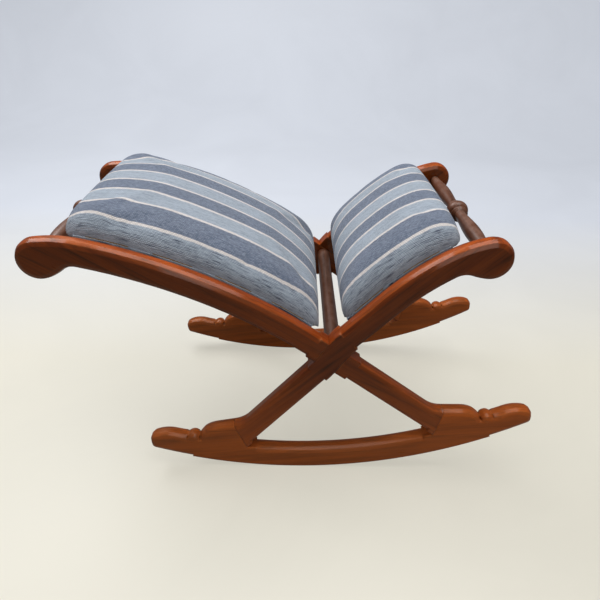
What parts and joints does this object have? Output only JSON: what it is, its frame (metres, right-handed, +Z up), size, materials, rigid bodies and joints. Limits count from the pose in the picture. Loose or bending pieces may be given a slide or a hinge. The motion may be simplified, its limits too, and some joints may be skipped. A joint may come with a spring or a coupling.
{
  "type": "rocking footstool",
  "caption": "Rocking footstool on curved wooden rockers, with crossed curved arms, turned stretchers and striped upholstered pads.",
  "frame": {"origin": "Middle of the bounding box at floor level, under the stool, where the rockers rest.", "axes": "+Z up. +X along the rockers, towards the short arms. +Y from the front side frame towards the rear one."},
  "size_m": [0.6976, 0.331, 0.4111],
  "materials": {
    "mahogany": "glossy red-brown lacquer",
    "turned_mahogany": "worn lacquer, duller than the boards",
    "seat_rail_wood": "unfinished pale wood",
    "tenon_wood": "unfinished pale wood",
    "webbing": "coarse woven strap",
    "lining_cloth": "plain dark lining cloth",
    "striped_cover": "heathered weave in blue, grey and cream stripes"
  },
  "bodies": {
    "root": {"centre_stretcher": "turned_mahogany", "front_long_arm_and_leg": "mahogany", "front_long_leg_tenon": "tenon_wood", "front_rocker": "mahogany", "front_short_arm_and_leg": "mahogany", "front_short_leg_tenon": "tenon_wood", "long_dust_cover": "lining_cloth", "long_end_stretcher": "turned_mahogany", "long_pad": "striped_cover", "long_seat_front_rail": "seat_rail_wood", "long_seat_inner_rail": "seat_rail_wood", "long_seat_outer_rail": "seat_rail_wood", "long_seat_rear_rail": "seat_rail_wood", "long_webbing_1": "webbing", "long_webbing_2": "webbing", "long_webbing_3": "webbing", "long_webbing_4": "webbing", "rear_long_arm_and_leg": "mahogany", "rear_long_leg_tenon": "tenon_wood", "rear_rocker": "mahogany", "rear_short_arm_and_leg": "mahogany", "rear_short_leg_tenon": "tenon_wood", "short_dust_cover": "lining_cloth", "short_end_stretcher": "turned_mahogany", "short_pad": "striped_cover", "short_seat_front_rail": "seat_rail_wood", "short_seat_inner_rail": "seat_rail_wood", "short_seat_outer_rail": "seat_rail_wood", "short_seat_rear_rail": "seat_rail_wood", "short_webbing_1": "webbing", "short_webbing_2": "webbing"}
  },
  "joints": []
}
